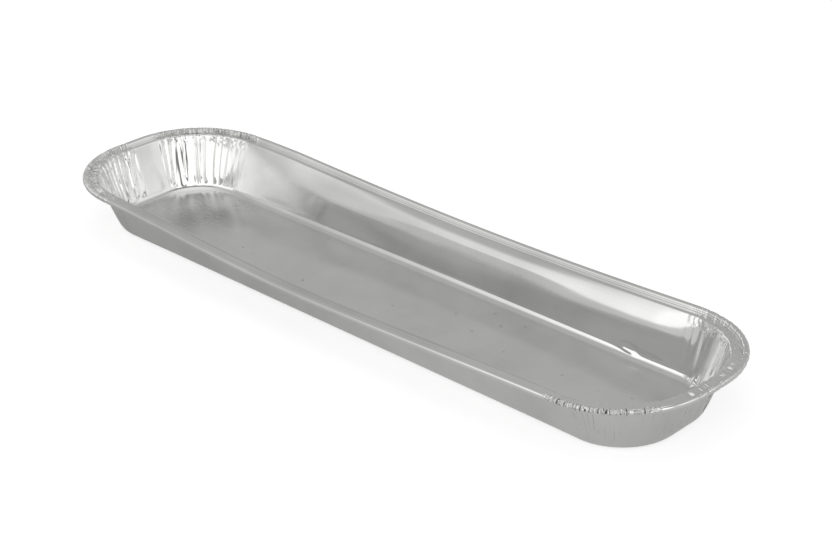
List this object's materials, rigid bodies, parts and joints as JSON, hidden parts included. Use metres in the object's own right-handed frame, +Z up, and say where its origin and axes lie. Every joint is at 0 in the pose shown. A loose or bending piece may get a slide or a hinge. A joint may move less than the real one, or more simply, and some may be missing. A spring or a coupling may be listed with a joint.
{
  "type": "foil tray",
  "caption": "Long shallow baking tray pressed from thin aluminium foil, with rounded ends, leaning walls pleated at the corners, a flat flange and a rolled rim.",
  "frame": {"origin": "under the middle of the floor, on the surface that the tray rests on", "axes": "+X along the tray's length, +Y across it, +Z up out of its open top"},
  "size_m": [0.29, 0.081, 0.0215],
  "materials": {
    "foil": "satin rolled foil, crinkled at the corners"
  },
  "bodies": {
    "root": {"foil_tray": "foil"}
  },
  "joints": []
}
